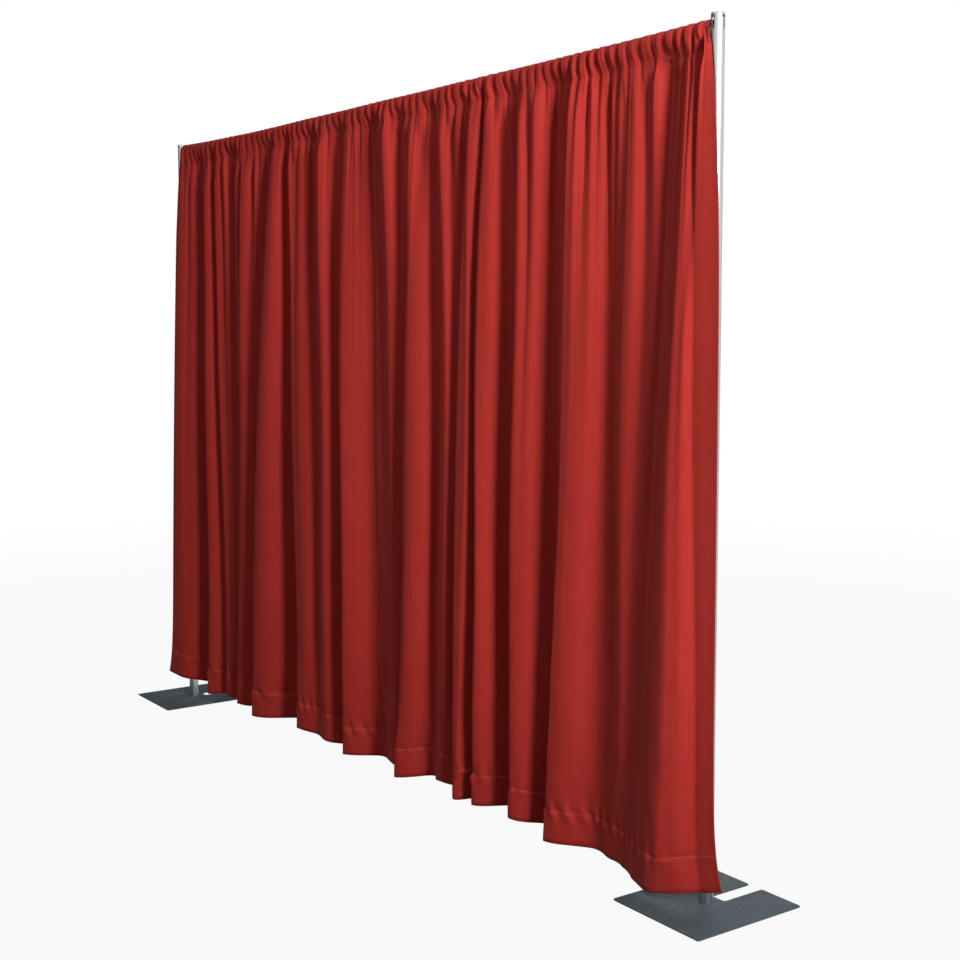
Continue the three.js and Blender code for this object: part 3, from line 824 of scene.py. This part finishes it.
# %% Space the columns and rows
column_pitch = 0.0042
least_columns = 6
hem_clearance = 0.048
pocket_drop = 0.058
seam_height = bar_height - pocket_drop


def drape_columns(marks):
    """The columns of a drape: which marks each lies between, and its share of the way."""
    starts, shares = [], []
    for index, (mark, following) in enumerate(zip(marks, marks[1:])):
        shift = max(abs(following[place] - mark[place]) for place in (POCKET_PLACE, HEM_PLACE))
        count = max(least_columns, round(upright_axis * shift / column_pitch))
        starts += [index] * count
        shares += [step / count for step in range(count)]
    return np.array(starts + [len(marks) - 2]), np.array(shares + [1.0])


def drape_rows():
    """The rows of a drape below the seam, as shares of the drop."""
    drop = seam_height - hem_clearance
    bands = (
        (0, 0.017), (0.085, 0.005), (0.115, 0.027), (0.25, 0.045), (drop - 0.45, 0.018), (drop - 0.16, 0.008)
    )
    ends = [start for start, _ in bands[1:]] + [drop + 0.0001]
    heights = [np.arange(start, end, pitch) for (start, pitch), end in zip(bands, ends)]
    return np.append(np.concatenate(heights)[:-1], drop) / drop


print(f"{len(drape_rows())} rows below the seam")

# %% [markdown]
# ## Main folds
# At each height the marks give a line seen from above: crests stand out, and the cloth swings
# back between them. Folds open on their way down, because only the bar holds them together.

# %% Shape the main folds
fold_reach = 0.062
fold_return = 0.046
opening_power = 0.55
reach_at_seam = 0.7
return_at_seam = 0.2
valley_power = 0.8
least_valley = -0.2


def main_surface(marks, starts, shares, drop_share):
    """X and Y of the main folds of every column at one share of the drop."""
    table = np.array(marks, float).T
    before, after = table[:, starts], table[:, starts + 1]
    at_edge = (starts == 0) | (starts == len(marks) - 2)
    opened = (1 - drop_share) ** opening_power

    def place(mark):
        """Where marks are along the bar."""
        shift = mark[HEM_PLACE] - mark[POCKET_PLACE]
        return mark[POCKET_PLACE] + shift * (1 - drop_share ** mark[SPREAD])

    def reach(mark):
        """How far marks stand out."""
        growth = reach_at_seam + (1 - reach_at_seam) * min(1, 3 * opened)
        return (mark[POCKET_REACH] + (mark[HEM_REACH] - mark[POCKET_REACH]) * opened) * growth

    along = place(before) + (place(after) - place(before)) * shares
    phase = np.where(at_edge, shares, shares ** before[LEAN])
    swing = reach(before) + (reach(after) - reach(before)) * smooth(shares)
    depth = np.maximum(1 + (before[VALLEY] - 1) * opened, least_valley)
    valley = depth * swing * ((1 - np.cos(2 * pi * phase)) / 2) ** valley_power
    back = fold_return * (return_at_seam + (1 - return_at_seam) * opened)
    between = -fold_reach * swing + (fold_reach + back) * valley
    ease = (1 - np.cos(pi * shares)) / 2
    beside = -fold_reach * (reach(before) + (reach(after) - reach(before)) * ease)
    return upright_axis * along, np.where(at_edge, beside, between)


def plan_normals(x, y):
    """The direction towards the front, square to each row of the cloth."""
    along, back = np.gradient(x), np.gradient(y)
    length = np.hypot(along, back)
    return back / length, -along / length


# %% [markdown]
# ## Finer folds
# The pocket's pleats run on below its seam and merge into broader puckers, with soft creases
# further down. The near end hangs calmer. The hem is two layers sewn together, so its band
# stands out a little, with a groove and small puckers along its stitches.

# %% Shape the finer folds
# Each kind: its pitch, its depth, the length over which it comes in and that over which it fades
pleats = (0.040, 0.0085, 0.03, 0.20)
puckers = (0.080, 0.0130, 0.12, 0.50)
pinches = (0.058, 0.0036, 0.10, 0.60)
creases = (0.150, 0.0120, 0.60, 0.40)
drags = (0.090, 0.0012, 0.40, 0.70)
pleats_at_seam = 0.65
drag_slant = 0.35
calm_from = 1.20
calm_over = 0.12
calm_share = 0.75
short_fold_start = 0.05
short_fold_over = 0.11

hem_band = 0.100
hem_pucker_pitch = 0.040
hem_pucker_depth = 0.0058
hem_pucker_height = 0.026
hem_pucker_slant = 0.4
hem_band_depth = 0.0026
hem_groove_depth = 0.0028
hem_groove_height = 0.006


def finer_folds(at_bar, z, below, above_hem, seed):
    """How far the finer folds stand out along one row."""
    pitch, depth, start, fade = pleats
    grown = pleats_at_seam + (1 - pleats_at_seam) * smooth(below / start)
    amount = depth * pinched_wave(at_bar, pitch, seed) * fades(below, fade) * grown

    pitch, depth, start, fade = puckers
    amount += depth * drifting_wave(at_bar, pitch, seed + 1) * smooth(below / start) * fades(below, fade)

    calm = 1 - calm_share * smooth((at_bar - calm_from) / calm_over)
    pitch, depth, start, fade = creases
    soft = drifting_wave(at_bar, pitch, seed + 2)
    amount += calm * depth * soft * smooth(below / start) * smooth(above_hem / fade)

    pitch, depth, start, fade = pinches
    sharp = pinched_wave(at_bar, pitch, seed + 7)
    amount += calm * depth * sharp * smooth(below / start) * fades(below, fade)

    pitch, depth, start, fade = drags
    dragged = drifting_wave(at_bar + drag_slant * z, pitch, seed + 6)
    amount += depth * dragged * smooth(below / start) * fades(above_hem, fade)

    for middle, half_width, depth, fade in short_folds:
        begun = smooth((below + short_fold_start) / short_fold_over)
        amount += depth * ridge(at_bar - upright_axis * middle, half_width) * fades(below, fade) * begun

    above_stitches = above_hem - hem_band
    puckered = drifting_wave(at_bar + hem_pucker_slant * above_hem, hem_pucker_pitch, seed + 4)
    amount += hem_pucker_depth * puckered * ridge(above_stitches, hem_pucker_height)
    amount += hem_band_depth * (1 - smooth((above_stitches + 0.002) / hem_groove_height))
    amount -= hem_groove_depth * ridge(above_stitches - 0.004, hem_groove_height)
    return amount


# %% [markdown]
# ## Rod pocket
# The pocket is a sleeve sewn below the bar. Its rows climb the front, go over the bar and come
# down behind to the seam. Its gathers are strong at the front and back and nearly flat on
# top, and no row comes closer to the bar than a small gap. The photograph's bar sags. This
# one is straight, so the pocket rides up a little towards both ends instead.

# %% Shape the rod pocket
cloth_thickness = 0.0011
pocket_steps = 40
pocket_turns = np.linspace(-1, 1, pocket_steps + 1)[1:]
pocket_over = 0.45
gather_depth = 0.0066
gathers_on_top = 0.15
gather_growth = 1.2
pocket_ease = 0.0012
pocket_flare = 0.35
seam_gap = 0.0024
crown_gap = 0.0017
belly_gap = 0.0024
bar_clearance = 0.0003
ride_up_ends = (0.016, 0.006)
ride_up_from = 0.7
ride_up_over = 0.8
pocket_belly = bar_radius + belly_gap + cloth_thickness / 2


def pocket_crown(at_bar):
    """How high the pocket's top lies over the bar's axis."""
    along = np.clip((np.abs(at_bar) - ride_up_from) / ride_up_over, 0, 1)
    ride_up = np.where(at_bar < 0, *ride_up_ends) * along ** 2
    return bar_radius + crown_gap + cloth_thickness / 2 + ride_up


def pocket_row(turn, at_bar, seam, gathers, flare):
    """One row of the pocket: round over the bar, then drawn in to the seam below it."""
    front = -1 if turn < 0 else 1
    if abs(turn) <= pocket_over:
        angle = turn / pocket_over * pi / 2
        out_y, out_z = sin(angle), cos(angle)
        shown = gathers_on_top + (1 - gathers_on_top) * out_y * out_y
        amount = np.maximum(gathers * gather_depth * shown, -pocket_ease) + pocket_ease
        x = at_bar + flare * pocket_flare * smooth(-out_y)
        y = (pocket_belly + amount) * out_y
        z = bar_height + (pocket_crown(at_bar) + amount) * out_z
        return np.stack([x, y, z], axis=1)
    down = (abs(turn) - pocket_over) / (1 - pocket_over)
    drawn = smooth(down)
    z = bar_height - pocket_drop * down + 0 * at_bar
    bulge = gathers * gather_depth * (1 + gather_growth * down) * (1 - drawn * drawn)
    bulge += pocket_ease * (1 - down)
    if front < 0:
        seam_y = seam[:, 1]
        x = at_bar + flare * pocket_flare * (1 - drawn) + (seam[:, 0] - at_bar) * drawn
    else:
        seam_y = np.maximum(seam[:, 1] + seam_gap, 0.0)
        x = at_bar + (seam[:, 0] - flare - at_bar) * drawn
    y = (front * pocket_belly) * (1 - drawn) + seam_y * drawn + front * bulge
    nearest = np.maximum((pocket_belly - bar_clearance) ** 2 - (z - bar_height) ** 2, 0.0)
    y = front * np.maximum(front * y, np.sqrt(nearest))
    return np.stack([x, y, z], axis=1)


# %% [markdown]
# ## A whole sheet
# Each row takes its place on the main folds, and the finer folds are added square to it. The
# side edges lie calm and flare a little, and the folds wander on their way down.

# %% Shape a drape's sheet
edge_calm = 0.02
wander = 0.009
wander_turns = 7.0
sway_pitch = 0.7
sway_turns = 2.5
kink_pitch = 0.064
kink_depth = 0.0065
kink_middle = 0.012
kink_height = 0.026
flare_from = 1.44
flare_over = 0.06
edge_flares = (0.006, 0.022)
edge_flare_fade = 0.12
hem_flare = 0.038
hem_flare_fade = 0.10
hem_rise = 0.062


def drape_sheet(marks, seed):
    """All points of a drape, as an array of rows by columns."""
    starts, shares = drape_columns(marks)
    rises = np.array(marks, float)[:, HEM_RISE]
    hem = hem_clearance + hem_rise * (rises[starts] + (rises[starts + 1] - rises[starts]) * shares)
    at_bar = main_surface(marks, starts, shares, 1.0)[0]
    calm_edge = smooth(np.minimum(at_bar - at_bar[0], at_bar[-1] - at_bar) / edge_calm)
    kinks = kink_depth * calm_edge * drifting_wave(at_bar, kink_pitch, seed + 3)
    sway = sway_turns * drifting_wave(at_bar, sway_pitch, seed + 5)
    outward = smooth((np.abs(at_bar) - flare_from) / flare_over) * np.sign(at_bar)
    flare = outward * np.where(at_bar < 0, *edge_flares)
    rows = []
    for share in drape_rows():
        x, y = main_surface(marks, starts, shares, share)
        x = x + wander * calm_edge * sin(pi * share) * np.sin(wander_turns * share + sway)
        z = hem + (seam_height - hem) * share
        below, above_hem = seam_height - z, z - hem
        amount = calm_edge * finer_folds(at_bar, z, below, above_hem, seed)
        sideways, forward = plan_normals(x, y)
        x = x + amount * sideways + kinks * ridge(below - kink_middle, kink_height)
        y = y + amount * forward
        x = x + flare * fades(below, edge_flare_fade)
        x = x + outward * hem_flare * fades(above_hem, hem_flare_fade)
        rows.append(np.stack([x, y, z], axis=1))
    seam = rows[-1]
    gathers = calm_edge * pinched_wave(at_bar, pleats[0], seed)
    rows += [pocket_row(turn, at_bar, seam, gathers, flare) for turn in pocket_turns]
    return np.array(rows)


# %% [markdown]
# ## From points to cloth
# Weave and stitches have to follow the cloth and not the room. So the mesh gets a UV map in
# metres of cloth, and two attributes: how far each point is from the hem and from the seam.

# %% Turn a drape's sheet into a mesh
def sheet_mesh(name, points):
    """A grid mesh with its lengths of cloth; returns it and the cloth's width and length."""
    row_count, column_count = points.shape[:2]
    index = np.arange(row_count * column_count).reshape(row_count, column_count)
    corners = [index[:-1, :-1], index[:-1, 1:], index[1:, 1:], index[1:, :-1]]
    quads = np.stack(corners, axis=-1).reshape(-1, 4)
    mesh = bpy.data.meshes.new(name)
    mesh.from_pydata(points.reshape(-1, 3).tolist(), [], quads.tolist())
    across = np.linalg.norm(np.diff(points[row_count // 2], axis=0), axis=1)
    across = np.concatenate([[0], np.cumsum(across)])
    up = np.linalg.norm(np.diff(points, axis=0), axis=2)
    up = np.concatenate([np.zeros((1, column_count)), np.cumsum(up, axis=0)])
    from_seam = up - up[row_count - len(pocket_turns) - 1]
    loops = np.zeros(len(mesh.loops), int)
    mesh.loops.foreach_get("vertex_index", loops)
    flat = np.stack([np.broadcast_to(across, up.shape).ravel(), up.ravel()], axis=1)[loops]
    mesh.uv_layers.new(name="cloth").data.foreach_set("uv", flat.ravel())
    for title, values in (("from_hem", up), ("from_seam", from_seam)):
        attribute = mesh.attributes.new(title, "FLOAT", "POINT")
        attribute.data.foreach_set("value", values.ravel().astype(np.float32))
    mesh.update()
    return mesh, float(across[-1]), float(up[-1].mean())


# %% [markdown]
# ## The drape cloth
# The cloth is a matt woven red. Its threads are too fine to model, so they are drawn from the
# cloth's own lengths: fine threads, thicker ones here and there, and rows of stitches along
# the hem and the seam. The seam's stitches are coloured dark, as painted shade of its crease.
# A little sheen stands for the fuzz.

# %% Finish the drape cloth
cloth_dark = (0.47, 0.022, 0.016, 1)
cloth_light = (0.56, 0.034, 0.024, 1)
cloth_weft = (0.60, 0.045, 0.034, 1)
cloth_cloudy = (0.38, 0.017, 0.013, 1)
cloth_fuzz = (0.70, 0.09, 0.07, 1)
hem_thread = (0.72, 0.13, 0.11, 1)
# Painted shade: the seam's stitch colour is darkened for the shade of the crease at the seam
seam_thread_and_crease_shade = (0.26, 0.012, 0.010, 1)
warp_pitch = 0.0011
weft_pitch = 0.0013
stitch_pitch = 0.0045
stitch_gap = -0.45
stitch_near = 0.0006
stitch_far = 0.0014


def drape_cloth():
    """Matt woven red cloth with uneven threads, two rows of stitches and painted crease shade at the seam.
    """
    material, tree, shader, places = new_material(
        "drape_cloth", Roughness=0.82, Specular_IOR_Level=0.25,
        Sheen_Weight=0.12, Sheen_Roughness=0.5, Sheen_Tint=(1.0, 0.45, 0.4, 1),
    )
    cloth = add_node(tree, "UVMap", {"uv_map": "cloth"}).outputs["UV"]
    lengths = add_node(tree, "SeparateXYZ", Vector=cloth).outputs

    def threads(length, pitch):
        """A wave, one turn to a thread."""
        return math_node(tree, "SINE", math_node(tree, "MULTIPLY", length, 2 * pi / pitch))

    def thick_threads(stretch):
        """Grain drawn out along one way."""
        drawn = add_node(tree, "Mapping", Vector=cloth, Scale=stretch).outputs[0]
        return place_group(tree, grain_group, drawn, Scale=1.0)

    def stitches(attribute, line):
        """A dashed line of thread."""
        away = add_node(tree, "Attribute", {"attribute_name": attribute}).outputs["Fac"]
        beside = math_node(tree, "ABSOLUTE", math_node(tree, "SUBTRACT", away, line))
        near = ranged(tree, beside, stitch_near, stitch_far, 1.0, 0.0)
        dash = math_node(tree, "GREATER_THAN", threads(lengths["X"], stitch_pitch), stitch_gap)
        return math_node(tree, "MULTIPLY", near, dash)

    weave = math_node(tree, "MULTIPLY", threads(lengths["X"], warp_pitch), threads(lengths["Y"], weft_pitch))
    thick_warp = thick_threads((260, 7, 1))
    thick_weft = thick_threads((6, 220, 1))
    cloudy = place_group(tree, grain_group, places, Scale=2.6)
    fuzz = place_group(tree, grain_group, places, Scale=240.0)
    hem_stitches = stitches("from_hem", hem_band)
    seam_stitches_and_crease_shade = stitches("from_seam", 0.0)

    colour = mix_colours(tree, thick_warp, cloth_dark, cloth_light)
    colour = lay_over(tree, colour, thick_weft, 0.3, cloth_weft)
    colour = lay_over(tree, colour, cloudy, 0.35, cloth_cloudy)
    colour = lay_over(tree, colour, fuzz, 0.12, cloth_fuzz)
    colour = lay_over(tree, colour, hem_stitches, 0.7, hem_thread)
    # Painted shade: dark dashed stitches along the seam stand in for its crease's shade
    colour = lay_over(tree, colour, seam_stitches_and_crease_shade, 0.7, seam_thread_and_crease_shade)
    fill(tree, shader, Base_Color=colour)
    height = math_node(tree, "MULTIPLY", thick_warp, 0.8)
    for relief, share in ((weave, 0.35), (thick_weft, 0.5), (seam_stitches_and_crease_shade, -2.0), (hem_stitches, 1.0)):
        height = math_node(tree, "MULTIPLY_ADD", relief, share, height)
    bump_into(tree, shader, height, strength=0.3, distance=0.0003)
    return material


finishes["drape_cloth"] = drape_cloth()
print("cloth thread", warp_pitch, "by", weft_pitch, "m")

# %% [markdown]
# ## Hanging the drapes
# Each sheet gets its thickness from Solidify and rides on its own body, so that it travels
# along the bar as the crossbar is pushed together. Real cloth bunches up then, and a rigid
# body can't.

# %% Hang the drapes
for number, (side, marks) in enumerate(drape_marks.items()):
    points = drape_sheet(marks, seed=10 * number + 3)
    mesh, width, length = sheet_mesh(f"cloth_{side}", points)
    drape = bpy.data.objects.new(f"cloth_{side}", mesh)
    bpy.context.scene.collection.objects.link(drape)
    select_only(drape)
    apply_modifier(drape, "SOLIDIFY", thickness=cloth_thickness, offset=0)
    bpy.ops.object.shade_smooth()
    drape.data.materials.append(finishes["drape_cloth"])
    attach(drape, f"{side}_drape")
    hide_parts(f"drape_{side}")
    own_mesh(drape)
    print(f"drape {side}: {width:.2f} m of cloth over {length:.2f} m, {len(drape.data.polygons)} faces")
